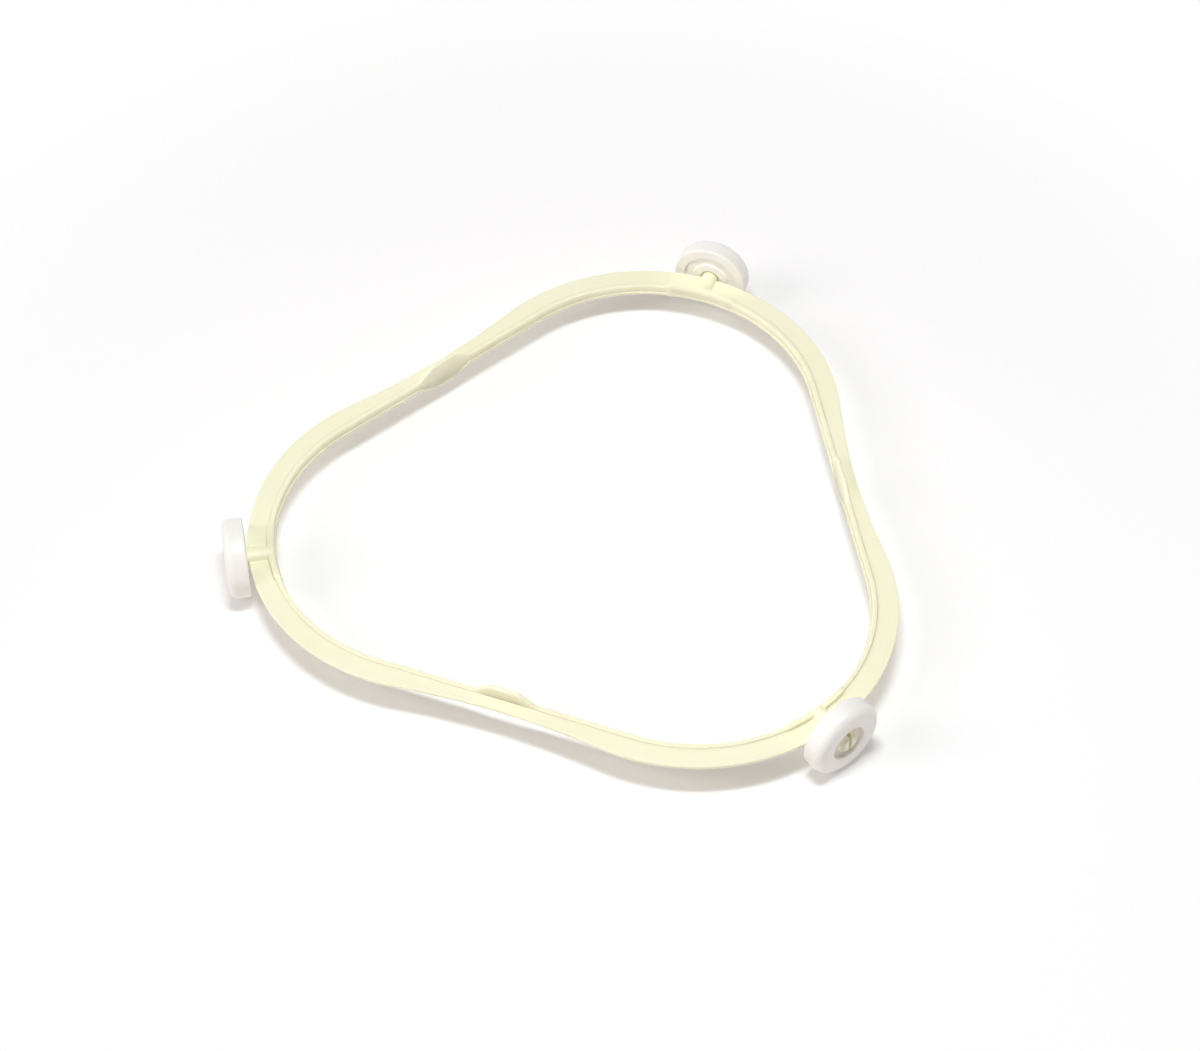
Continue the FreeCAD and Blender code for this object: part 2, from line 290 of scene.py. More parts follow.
class GeometryTree(Graph):
    """A Geometry Nodes tree whose sizes are named inputs."""

    def __init__(self, name: str, sizes: Mapping[str, float]) -> None:
        """Start a tree.

        Args:
            name: the tree's name.
            sizes: a value for each named input.
        """
        super().__init__(bpy.data.node_groups.new(name, "GeometryNodeTree"))
        interface = self.tree.interface
        interface.new_socket("Mesh", in_out="OUTPUT", socket_type="NodeSocketGeometry")
        self.sizes = dict(sizes)
        self.inputs = {}
        for key in sizes:
            self.inputs[key] = interface.new_socket(key, in_out="INPUT", socket_type="NodeSocketFloat")
        self.entry = self.node("NodeGroupInput")

    def size(self, name: str) -> Value:
        """The named input."""
        return self.entry.out(name)

    def pick(self, kind: str, index: Value, items: Sequence[Any]) -> Value:
        """Choose one of several values by a number.

        Args:
            kind: data type of the values.
            index: the number.
            items: the values in order.

        Returns:
            The chosen value.
        """
        settings = {"data_type": kind, "branches": len(items)}
        branches = {f"Item_{place}": item for place, item in enumerate(items)}
        return self.node("GeometryNodeIndexSwitch", settings, {"Index": index, **branches})

    def capture(self, geometry: Value, kind: str, value: Value) -> tuple[Value, Value]:
        """Store a value on a geometry's points.

        Args:
            geometry: the geometry.
            kind: data type of the value.
            value: what is stored.

        Returns:
            The geometry and the stored value.
        """
        kept = self.node("GeometryNodeCaptureAttribute", {"captured": kind},
                         {"Geometry": geometry, "captured": value})
        return kept, kept.out("captured")

    def mark(self, geometry: Value, mark: Mark, value: Value) -> Value:
        """Store a value on a geometry's points for the finish to read."""
        return self.node("GeometryNodeStoreNamedAttribute", {"data_type": "FLOAT", "domain": "POINT"},
                         {"Geometry": geometry, "Name": mark.value, "Value": value})

    def loft(self, corners: Sequence[Corner], stations: int, closed: bool) -> Loft:
        """Round the corners of a section and carry it round a closed path.

        Args:
            corners: the section's corners in order.
            stations: how many sections there are along the path.
            closed: whether the section's last corner joins its first.

        Returns:
            The skin, to be put in place.
        """
        index = self.node("GeometryNodeInputIndex")
        across = self.pick("FLOAT", index, [corner.across for corner in corners])
        up = self.pick("FLOAT", index, [corner.up for corner in corners])
        spots = self.node("GeometryNodePoints", {},
                          {"Count": len(corners), "Position": self.vector(across, up, 0.0)})
        outline = self.node("GeometryNodePointsToCurves", {}, {"Points": spots})
        outline = self.node("GeometryNodeSetSplineCyclic", {}, {"Geometry": outline, "Cyclic": closed})
        outline, number = self.capture(outline, "INT", index)
        outline = self.node("GeometryNodeFilletCurve", {"mode": "POLY"}, {
            "Curve": outline,
            "Count": self.pick("INT", index, [corner.steps for corner in corners]),
            "Radius": self.pick("FLOAT", index, [corner.rounding for corner in corners]),
        })
        outline, place = self.capture(outline, "VECTOR", self.node("GeometryNodeInputPosition"))
        path = self.node("GeometryNodeCurvePrimitiveCircle", {}, {"Resolution": stations, "Radius": 1.0})
        path, station = self.capture(path, "INT", index)
        skin = self.node("GeometryNodeCurveToMesh", {}, {"Curve": path, "Profile Curve": outline})
        parts = self.node("ShaderNodeSeparateXYZ", {}, {"Vector": place})
        return Loft(skin, parts, parts.out("Y"), number, station)

    def at_corners(self, loft: Loft, values: Sequence[Operand]) -> Value:
        """Give each point of a skin the value of the corner that it rounds."""
        return self.pick("FLOAT", loft.corner, values)

    def put(self, mesh: Value, x: Operand, y: Operand, z: Operand) -> Value:
        """Put a mesh's points in place and close its seams and poles."""
        moved = self.node("GeometryNodeSetPosition", {}, {"Geometry": mesh, "Position": self.vector(x, y, z)})
        return self.node("GeometryNodeMergeByDistance", {}, {"Geometry": moved, "Distance": MERGE_DISTANCE})

    def join(self, first: Value, second: Value) -> Value:
        """Join two closed meshes to one."""
        return self.node("GeometryNodeMeshBoolean", {"operation": "UNION", "solver": "MANIFOLD"},
                         {"Mesh 2": [first, second]})

    def cut(self, base: Value, tool: Value) -> Value:
        """Cut a closed mesh out of another."""
        return self.node("GeometryNodeMeshBoolean", {"operation": "DIFFERENCE", "solver": "MANIFOLD"},
                         {"Mesh 1": base, "Mesh 2": tool})

    def close(self, mesh: Value, material: bpy.types.Material) -> None:
        """End the tree with smooth shading, crisp edges and a material.

        Args:
            mesh: the piece's mesh.
            material: the piece's material.
        """
        smooth = self.node("GeometryNodeSetShadeSmooth", {"domain": "FACE"}, {"Geometry": mesh})
        crisp = self.node("GeometryNodeInputMeshEdgeAngle") > SHARP_ANGLE
        edged = self.node("GeometryNodeSetShadeSmooth", {"domain": "EDGE"},
                          {"Geometry": smooth, "Selection": crisp, "Shade Smooth": False})
        real = self.node("GeometryNodeRealizeInstances", {}, {"Geometry": edged})
        dressed = self.node("GeometryNodeSetMaterial", {}, {"Geometry": real, "Material": material})
        self.node("NodeGroupOutput", {}, {"Mesh": dressed})

    def make(self, name: str, **changes: float) -> bpy.types.Object:
        """Evaluate the tree into a plain mesh.

        Args:
            name: the piece's name.
            changes: sizes that differ from the tree's own for this piece.

        Returns:
            The piece, at the origin, with its place in its mesh.
        """
        piece = bpy.data.objects.new(name, bpy.data.meshes.new(name))
        bpy.context.scene.collection.objects.link(piece)
        builder = piece.modifiers.new("build", "NODES")
        builder.node_group = self.tree
        for key, value in {**self.sizes, **changes}.items():
            builder[self.inputs[key].identifier] = value
        evener = piece.modifiers.new("even_normals", "WEIGHTED_NORMAL")
        evener.keep_sharp = True
        depsgraph = bpy.context.evaluated_depsgraph_get()
        mesh = bpy.data.meshes.new_from_object(piece.evaluated_get(depsgraph), depsgraph=depsgraph)
        piece.modifiers.clear()
        piece.data = mesh
        mesh.name = name
        return piece


@dataclass(frozen=True)
class Patches:
    """Smooth noise that a finish varies by.

    Attributes:
        size: how far apart its patches are.
        detail: how much finer noise is laid over it.
        seed: a shift that makes it differ from other noise.
        low: noise at which a patch begins.
        high: noise at which a patch is full.
    """

    size: float
    detail: float
    seed: float
    low: float = 0.0
    high: float = 1.0


@dataclass(frozen=True)
class PaintedShade:
    """Shade painted into the colour where a mesh is marked.

    Attributes:
        mark: the mark.
        weight: how much of the colour the painted shade hides where the mark is one.
        sharpness: how closely it keeps to there.
    """

    mark: Mark
    weight: float
    sharpness: float


class ShaderTree(Graph):
    """A material under construction."""

    NOISE_ROUGHNESS = 0.55

    def __init__(self, name: str) -> None:
        """Start a material.

        Args:
            name: the material's name.
        """
        self.material = bpy.data.materials.new(name)
        self.material.use_nodes = True
        super().__init__(self.material.node_tree)
        self.tree.nodes.clear()
        self.place = self.node("ShaderNodeTexCoord", {}, {}, "Object")

    def noise(self, patches: Patches) -> Value:
        """Lay smooth noise over the object.

        Args:
            patches: what the noise is like.

        Returns:
            Zero between the patches and one within them.
        """
        shifted = self.node("ShaderNodeMapping", {}, {"Vector": self.place, "Location": (patches.seed,) * 3})
        raw = self.node("ShaderNodeTexNoise", {}, {
            "Vector": shifted,
            "Scale": 1.0 / patches.size,
            "Detail": patches.detail,
            "Roughness": self.NOISE_ROUGHNESS,
        })
        return self.between(raw, patches.low, patches.high)

    def cover(self, grime: PaintedShade) -> Value:
        """How far painted shade hides the surface; zero where the mesh has no such mark."""
        held = self.node("ShaderNodeAttribute", {"attribute_name": grime.mark.value}, {}, "Fac")
        return grime.weight * self.maths("POWER", self.maths("MAXIMUM", held, 0.0), grime.sharpness)

    def mix(self, factor: Operand, first: Any, second: Any) -> Value:
        """Mix two colours by a factor."""
        return self.node("ShaderNodeMix", {"data_type": "RGBA"},
                         {"Factor_Float": factor, "A_Color": first, "B_Color": second}, "Result_Color")

    def close(self, inputs: Mapping[Key, Any]) -> bpy.types.Material:
        """Add the principled shader and the output.

        Args:
            inputs: values and links of the shader's sockets.

        Returns:
            The finished material.
        """
        shader = self.node("ShaderNodeBsdfPrincipled", {}, inputs)
        self.node("ShaderNodeOutputMaterial", {}, {"Surface": shader})
        return self.material


@dataclass(frozen=True)
class MouldedPlastic:
    """A satin moulded plastic whose colour clouds a little, with shade painted where its mesh is marked, and
    whose skin has a fine grain.

    Attributes:
        name: the material's name.
        body: its main colour.
        cloud: colour of its clouded patches.
        shine: roughness where it is smoothest and where it is dullest.
        grime: colour of the shade painted where the mesh is marked.
        foot_grime: painted shade on the wall's inner side, the pads and the snap tips.
        root_shade: painted line of shade at the wall's outer foot.
        shade_spread: how unevenly the painted shade lies.
        clouds: the clouded patches.
        flow: the duller patches.
        flow_share: share of the duller patches in the clouding.
        grain: the skin's grain.
        grain_share: share of the grain in the dullness.
        grain_depth: how deep the grain is.
        grain_strength: how fully the grain bends the light.
        glow: share of light that goes through its skin.
        glow_depth: how far that light goes.
        glow_reach: how far each colour goes of that.
        refraction: index of refraction.
    """

    name: str
    body: Colour
    cloud: Colour
    shine: tuple[float, float]
    # Painted shade: a brownish grey laid into the colour where the mesh is marked.
    grime: Colour = (0.42, 0.39, 0.31)
    foot_grime: PaintedShade = PaintedShade(Mark.GRIME, weight=0.45, sharpness=1.4)
    root_shade: PaintedShade = PaintedShade(Mark.LINE, weight=0.35, sharpness=18.0)
    shade_spread: float = 0.5
    clouds: Patches = Patches(26.0 * MM, detail=2.0, seed=0.31, low=0.38, high=0.66)
    flow: Patches = Patches(7.0 * MM, detail=3.0, seed=0.77, low=0.3, high=0.7)
    flow_share: float = 0.25
    grain: Patches = Patches(0.45 * MM, detail=2.0, seed=0.53)
    grain_share: float = 0.3
    grain_depth: float = 0.012 * MM
    grain_strength: float = 0.6
    glow: float = 0.12
    glow_depth: float = 0.8 * MM
    glow_reach: Colour = (1.0, 0.85, 0.6)
    refraction: float = 1.5

    def material(self) -> bpy.types.Material:
        """Build the material.

        Returns:
            The material.
        """
        tree = ShaderTree(self.name)
        clouds = tree.noise(self.clouds)
        flow = tree.noise(self.flow)
        grain = tree.noise(self.grain)
        clouding = (1.0 - self.flow_share) * clouds + self.flow_share * flow
        clean = tree.mix(clouding, (*self.body, 1.0), (*self.cloud, 1.0))
        # Painted shade: darker colour at the marked wall feet, pads and snap tips, made uneven by the flow
        # noise.
        painted_cover = tree.cover(self.foot_grime) + tree.cover(self.root_shade)
        uneven = 1.0 - self.shade_spread / 2.0 + self.shade_spread * flow
        colour = tree.mix(painted_cover * uneven, clean, (*self.grime, 1.0))
        smoothest, dullest = self.shine
        dullness = (1.0 - self.grain_share) * flow + self.grain_share * grain
        relief = {"Height": grain, "Strength": self.grain_strength, "Distance": self.grain_depth}
        return tree.close({
            "Base Color": colour,
            "Roughness": smoothest + (dullest - smoothest) * dullness,
            "Normal": tree.node("ShaderNodeBump", {}, relief, "Normal"),
            "IOR": self.refraction,
            "Subsurface Weight": self.glow,
            "Subsurface Radius": self.glow_reach,
            "Subsurface Scale": self.glow_depth,
        })


CREAM = MouldedPlastic("cream_moulding", body=(0.955, 0.94, 0.705), cloud=(0.94, 0.918, 0.67),
                       shine=(0.34, 0.5))
WHITE = MouldedPlastic("white_moulding", body=(0.93, 0.922, 0.875), cloud=(0.915, 0.902, 0.85),
                       shine=(0.28, 0.42))


@dataclass(frozen=True)
class RingPath:
    """Where a section of the ring stands.

    Attributes:
        angle: its direction from the ring's centre, from +X towards +Y.
        turn: its angle from the nearest lobe's axis.
        on_block: one on the blocks and zero away from them.
        on_pad: one on the pads and zero away from them.
    """

    angle: Value
    turn: Value
    on_block: Value
    on_pad: Value


@dataclass
class MouldedRing:
    """The cream ring: flange, wall, lip, blocks, pads and stub axles in one moulding.

    Heights of the wall, the blocks and the pads are measured from the axle plane.

    Attributes:
        axle_height: axle plane above the floor.
        axle_end: ring centre to the tips of the axles.
        pad_rise: pads above the axle plane.
        pad_drop: pads below the axle plane.
        lobe_reach: ring centre to the flange's edge at a lobe.
        lobe_radius: radius of the flange's edge round a lobe.
        waist_dip: hollow of the flange's edge at a waist, below a straight side.
        flange_thickness: flat outer flange.
        lobe_shelf: flange from its edge to the wall at a lobe.
        waist_shelf: flange from its edge to the wall at a waist.
        wall_thickness: upright wall.
        wall_rise: wall above the axle plane.
        wall_drop: wall below the axle plane.
        lip_width: lip inside the foot of the wall.
        lip_thickness: thickness of that lip.
        pad_lip: what is left of that lip under the pads.
        block_length: tall stretch of wall behind each axle.
        block_rise: that stretch above the axle plane.
        block_depth: extra thickness of that stretch at its inner foot, from where it slopes up to the crest.
        block_swell: extra thickness of that stretch on the flange's side.
        block_draft: length over which the ends of that stretch slope.
        pad_length: tall stretch of wall at a waist, with sloping ends.
        pad_flat: full-height middle of that stretch.
        pad_round: rounding of the pads' upper outer edge.
        edge_round: rounding of the other edges.
        root_round: fillet where wall, flange and lip meet, and rounding of the axles' edges.
        axle_diameter: stub axles.
        barb_rise: how far the snap barb stands out of the axle.
        barb_land: straight length of the barb.
        tip_length: tapered length of the snap tip.
        nose_round: rounding of the snap tip.
        slot_width: upright slot that splits the snap end.
        slot_length: length of that slot.
    """

    axle_height: float
    axle_end: float
    pad_rise: float
    pad_drop: float
    lobe_reach: float = 80.0 * MM
    lobe_radius: float = 45.8 * MM
    waist_dip: float = 2.0 * MM
    flange_thickness: float = 0.9 * MM
    lobe_shelf: float = 4.8 * MM
    waist_shelf: float = 2.9 * MM
    wall_thickness: float = 1.05 * MM
    wall_rise: float = 0.8 * MM
    wall_drop: float = 1.65 * MM
    lip_width: float = 0.45 * MM
    lip_thickness: float = 0.7 * MM
    pad_lip: float = 0.15 * MM
    block_length: float = 18.0 * MM
    block_rise: float = 1.55 * MM
    block_depth: float = 0.6 * MM
    block_swell: float = 0.35 * MM
    block_draft: float = 1.2 * MM
    pad_length: float = 15.0 * MM
    pad_flat: float = 6.4 * MM
    pad_round: float = 0.65 * MM
    edge_round: float = 0.22 * MM
    root_round: float = 0.1 * MM
    axle_diameter: float = 4.0 * MM
    barb_rise: float = 0.9 * MM
    barb_land: float = 0.4 * MM
    tip_length: float = 1.0 * MM
    nose_round: float = 0.45 * MM
    slot_width: float = 0.9 * MM
    slot_length: float = 4.4 * MM

    NODE = "roller_ring"
    BODY = "ring"
    BLOCK_STATIONS = 12
    DRAFT_STATIONS = 4
    RUN_STATIONS = 58
    SLOPE_STATIONS = 12
    FLAT_STATIONS = 6
    HALF_LOBE = BLOCK_STATIONS + DRAFT_STATIONS + RUN_STATIONS + SLOPE_STATIONS + FLAT_STATIONS
    AXLE_STATIONS = 64
    BLOCK_SOFTNESS = 0.25
    PAD_SOFTNESS = 0.06
    # Painted shade at the wall's inner foot, and more of it on the pads.
    WALL_SHADE = 0.75
    EXTRA_PAD_SHADE = 0.35

    @classmethod
    def from_frame(cls) -> "MouldedRing":
        """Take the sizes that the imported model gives.

        Returns:
            The ring, to be built.
        """
        low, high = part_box(cls.NODE)
        height = frame["joints"][0]["pos_m"][2]
        return cls(axle_height=height, axle_end=high.y, pad_rise=high.z - height, pad_drop=height - low.z)

    def build(self, finish: MouldedPlastic) -> bpy.types.Object:
        """Make the whole moulding as one closed mesh.

        Args:
            finish: the ring's plastic.

        Returns:
            The ring.
        """
        tree = GeometryTree("lobed_ring", asdict(self))
        moulding = tree.join(self.skin(tree), self.axles(tree))
        tree.close(moulding, finish.material())
        return tree.make("moulded_ring")

    def corners(self, tree: GeometryTree) -> list[Corner]:
        """Corners of the ring's section: across from the wall's outer face, up from the axle plane.

        Args:
            tree: the ring's tree.

        Returns:
            The corners in order, from the foot of the lip over the wall and the flange to the wall's foot.
        """
        foot = -tree.size("wall_drop")
        crest = tree.size("wall_rise")
        inside = -tree.size("wall_thickness")
        lip = inside - tree.size("lip_width")
        lip_top = foot + tree.size("lip_thickness")
        half = tree.size("flange_thickness") / 2.0
        rim = tree.size("waist_shelf")
        edge = tree.size("edge_round")
        root = tree.size("root_round")
        return [
            Corner(lip, foot, edge, (Follows.FOOT, Follows.TOE)),
            Corner(lip, lip_top, edge, (Follows.FOOT, Follows.TOE, Follows.INSIDE)),
            Corner(inside, lip_top, root, (Follows.FOOT, Follows.SLOPE, Follows.INSIDE), steps=2),
            Corner(inside, crest, edge, (Follows.CREST,)),
            Corner(0.0, crest, edge, (Follows.CREST, Follows.SWELL, Follows.ROUND), steps=5),
            Corner(0.0, half, root, (Follows.SWELL, Follows.ROOT), steps=2),
            Corner(rim, half, edge, (Follows.RIM,)),
            Corner(rim, -half, edge, (Follows.RIM,)),
            Corner(0.0, -half, root, (Follows.SWELL,), steps=2),
            Corner(0.0, foot, edge, (Follows.FOOT, Follows.SWELL)),
        ]

    def skin(self, tree: GeometryTree) -> Value:
        """Flange, wall, lip, blocks and pads as one closed skin.

        Args:
            tree: the ring's tree.

        Returns:
            The skin.
        """
        corners = self.corners(tree)
        loft = tree.loft(corners, 2 * LOBES * self.HALF_LOBE, closed=True)
        path = self.path(tree, loft.station)
        follows = {what: tree.at_corners(loft, [float(what in corner.follows) for corner in corners])
                   for what in Follows}
        corner_across = tree.at_corners(loft, [corner.across for corner in corners])
        corner_up = tree.at_corners(loft, [corner.up for corner in corners])
        fuller = tree.size("pad_round") / tree.size("edge_round") - 1.0
        roundness = 1.0 + fuller * path.on_pad * follows[Follows.ROUND]
        sloped = path.on_block * follows[Follows.SLOPE]
        drawn = path.on_pad * follows[Follows.TOE]
        toe = tree.size("block_depth") - tree.size("lip_width")
        thicker = tree.size("block_swell") * follows[Follows.SWELL] - toe * follows[Follows.TOE]
        across = corner_across + (loft.across - corner_across) * roundness * (1.0 - sloped - drawn)
        across = across - sloped * tree.size("block_depth") / 2.0 + path.on_block * thicker
        across = across + drawn * (tree.size("lip_width") - tree.size("pad_lip"))
        face_height = tree.size("block_rise") + tree.size("wall_drop") - tree.size("lip_thickness")
        up = corner_up + (loft.up - corner_up) * roundness + sloped * face_height / 2.0
        crest = (path.on_block * (tree.size("block_rise") - tree.size("wall_rise"))
                 + path.on_pad * (tree.size("pad_rise") - tree.size("wall_rise")))
        foot = path.on_pad * (tree.size("pad_drop") - tree.size("wall_drop"))
        height = tree.size("axle_height") + up + crest * follows[Follows.CREST] - foot * follows[Follows.FOOT]
        wall = self.wall_loop(tree, path.turn, across)
        rim = self.rim_loop(tree, path.turn, across - tree.size("waist_shelf"))
        reach = wall + (rim - wall) * follows[Follows.RIM]
        # Painted shade: darker colour is marked for the wall's inner foot, the lower outer faces of the pads
        # and a line at the wall's outer foot.
        on_face = (loft.up - corner_up) > tree.size("root_round") / 2.0
        grime = (follows[Follows.INSIDE] * (self.WALL_SHADE + self.EXTRA_PAD_SHADE * path.on_pad)
                 + follows[Follows.ROOT] * path.on_pad * on_face)
        marked = tree.mark(loft.mesh, Mark.GRIME, grime)
        marked = tree.mark(marked, Mark.LINE, follows[Follows.ROOT])
        return tree.put(marked, reach * tree.maths("COSINE", path.angle),
                        reach * tree.maths("SINE", path.angle), height)

    def path(self, tree: GeometryTree, station: Value) -> RingPath:
        """Place the sections round the ring, closest together where its shape changes.

        Args:
            tree: the ring's tree.
            station: a section's number, from the first lobe's axis.

        Returns:
            Where the section stands.
        """
        lobe = tree.maths("FLOOR", (station + self.HALF_LOBE) / (2.0 * self.HALF_LOBE))
        offset = station - lobe * (2.0 * self.HALF_LOBE)
        block_end = tree.maths("ARCSINE", tree.size("block_length") / 2.0 / self.wall_reach(tree))
        block_flat = block_end - tree.size("block_draft") / self.wall_reach(tree)
        pad_end = HALF_STEP - tree.maths("ARCTAN2", tree.size("pad_length") / 2.0, self.wall_side(tree))
        pad_flat = HALF_STEP - tree.maths("ARCTAN2", tree.size("pad_flat") / 2.0, self.wall_side(tree))
        turn = self.stations(tree, tree.maths("ABSOLUTE", offset), [
            (self.BLOCK_STATIONS, block_flat),
            (self.DRAFT_STATIONS, block_end),
            (self.RUN_STATIONS, pad_end),
            (self.SLOPE_STATIONS, pad_flat),
            (self.FLAT_STATIONS, HALF_STEP),
        ])
        return RingPath(
            angle=FIRST_LOBE + lobe * LOBE_STEP + tree.maths("SIGN", offset) * turn,
            turn=turn,
            on_block=tree.soft_clamp((block_end - turn) / (block_end - block_flat), self.BLOCK_SOFTNESS),
            on_pad=tree.soft_clamp((turn - pad_end) / (pad_flat - pad_end), self.PAD_SOFTNESS),
        )

    def stations(self, tree: GeometryTree, steps: Value, stretches: Sequence[tuple[int, Operand]]) -> Value:
        """Angle of a section from its lobe's axis.

        Args:
            tree: the ring's tree.
            steps: the section's number from its lobe's axis.
            stretches: how many sections each stretch has and the angle at which it ends.

        Returns:
            The angle.
        """
        passed = 0
        reached: Operand = 0.0
        angle: Operand = 0.0
        for count, end in stretches:
            angle = angle + tree.between(steps, float(passed), float(passed + count), 0.0, end - reached)
            passed += count
            reached = end
        return angle

    def waist_reach(self, tree: GeometryTree) -> Value:
        """Ring centre to the flange's edge at a waist."""
        return (tree.size("lobe_reach") + tree.size("lobe_radius")) / 2.0 - tree.size("waist_dip")

    def wall_reach(self, tree: GeometryTree) -> Value:
        """Ring centre to the wall's outer face at a lobe."""
        return tree.size("lobe_reach") - tree.size("lobe_shelf")

    def wall_side(self, tree: GeometryTree) -> Value:
        """Ring centre to the wall's outer face at a waist."""
        return self.waist_reach(tree) - tree.size("waist_shelf")

    def wall_loop(self, tree: GeometryTree, turn: Value, offset: Value) -> Value:
        """Reach of the wall's outer face, or a face parallel to it: lobe arcs and straight sides.

        Args:
            tree: the ring's tree.
            turn: angle from the lobe's axis.
            offset: how far the face lies outside the wall's own.

        Returns:
            Distance from the ring's centre.
        """
        # The straight sides touch the lobe arcs, 60 degrees from the lobe's axis.
        centre = (self.wall_reach(tree) - self.wall_side(tree)) * 2.0
        radius = self.wall_reach(tree) - centre + offset
        arc_end = tree.maths("ARCTAN2", radius * math.sin(HALF_STEP), centre + radius * math.cos(HALF_STEP))
        straight = (self.wall_side(tree) + offset) / tree.maths("COSINE", HALF_STEP - turn)
        arc = self.arc_reach(tree, turn, centre, radius, Side.FAR)
        return arc + (straight - arc) * (turn > arc_end)

    def rim_loop(self, tree: GeometryTree, turn: Value, offset: Value) -> Value:
        """Reach of the flange's edge, or a line parallel to it: lobe arcs and hollow waist arcs.

        Args:
            tree: the ring's tree.
            turn: angle from the lobe's axis.
            offset: how far the line lies outside the flange's edge.

        Returns:
            Distance from the ring's centre.
        """
        radius = tree.size("lobe_radius")
        centre = tree.size("lobe_reach") - radius
        waist = self.waist_reach(tree)
        # The arcs touch: their centres are radius + hollow apart, 60 degrees from each other round the ring.
        hollow = ((radius * radius - centre * centre - waist * waist + centre * waist)
                  / (2.0 * waist - centre - 2.0 * radius))
        hollow_centre = waist + hollow
        away_x = hollow_centre * math.cos(HALF_STEP) - centre
        away_y = hollow_centre * math.sin(HALF_STEP)
        share = (radius + offset) / (radius + hollow)
        arc_end = tree.maths("ARCTAN2", away_y * share, centre + away_x * share)
        arc = self.arc_reach(tree, turn, centre, radius + offset, Side.FAR)
        dip = self.arc_reach(tree, HALF_STEP - turn, hollow_centre, hollow - offset, Side.NEAR)
        return arc + (dip - arc) * (turn > arc_end)

    def arc_reach(self, tree: GeometryTree, turn: Value, centre: Value, radius: Value, side: Side) -> Value:
        """Distance from the ring's centre to a circle.

        Args:
            tree: the ring's tree.
            turn: direction, from the direction of the circle's centre.
            centre: distance to the circle's centre.
            radius: the circle's radius.
            side: which side of it is meant.

        Returns:
            The distance.
        """
        shift = centre * tree.maths("SINE", turn)
        half_chord = tree.maths("SQRT", radius * radius - shift * shift)
        return centre * tree.maths("COSINE", turn) + side.value * half_chord

    def axles(self, tree: GeometryTree) -> Value:
        """The three stub axles, each with its split snap end.

        Args:
            tree: the ring's tree.

        Returns:
            The axles.
        """
        radius = tree.size("axle_diameter") / 2.0
        root = self.wall_reach(tree) - tree.size("wall_thickness") / 2.0
        tip = tree.size("axle_end")
        land_end = tip - tree.size("tip_length")
        barb_start = land_end - tree.size("barb_land")
        barb = radius + tree.size("barb_rise")
        fine = tree.size("root_round")
        corners = [
            Corner(root, 0.0, fine),
            Corner(root, radius, fine, steps=1),
            Corner(barb_start, radius, fine, steps=2),
            Corner(barb_start, barb, fine, steps=3),
            Corner(land_end, barb, fine, steps=3),
            Corner(tip, radius, tree.size("nose_round"), (Follows.INSIDE,)),
            Corner(tip, 0.0, fine, (Follows.INSIDE,)),
        ]
        loft = tree.loft(corners, self.AXLE_STATIONS, closed=False)
        # Painted shade: the snap tips are marked to be darkened, as they sit in the rollers' recesses.
        tip_shade = tree.at_corners(loft, [float(Follows.INSIDE in corner.follows) for corner in corners])
        angle = loft.station * (math.tau / self.AXLE_STATIONS)
        height = tree.size("axle_height")
        axle = tree.put(tree.mark(loft.mesh, Mark.GRIME, tip_shade), loft.up * tree.maths("COSINE", angle),
                        loft.across, height + loft.up * tree.maths("SINE", angle))
        axle = tree.cut(axle, self.slot(tree))
        index = tree.node("GeometryNodeInputIndex")
        spots = tree.node("GeometryNodePoints", {}, {"Count": LOBES})
        turned = tree.node("GeometryNodeInstanceOnPoints", {}, {
            "Points": spots,
            "Instance": axle,
            "Rotation": tree.vector(0.0, 0.0, index * LOBE_STEP),
        })
        return tree.node("GeometryNodeRealizeInstances", {}, {"Geometry": turned})

    def slot(self, tree: GeometryTree) -> Value:
        """The block that is cut out of an axle's end to split it.

        Args:
            tree: the ring's tree.

        Returns:
            The block.
        """
        size = tree.vector(tree.size("slot_width"), tree.size("slot_length") * 2.0,
                           tree.size("axle_diameter") * 2.0)
        block = tree.node("GeometryNodeMeshCube", {}, {"Size": size})
        place = tree.vector(0.0, tree.size("axle_end"), tree.size("axle_height"))
        return tree.node("GeometryNodeTransform", {}, {"Geometry": block, "Translation": place})

    def dress(self, ring: bpy.types.Object) -> None:
        """Set the ring on its body in place of the plain solid.

        Args:
            ring: the finished ring.
        """
        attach(ring, self.BODY)
        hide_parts(self.NODE)


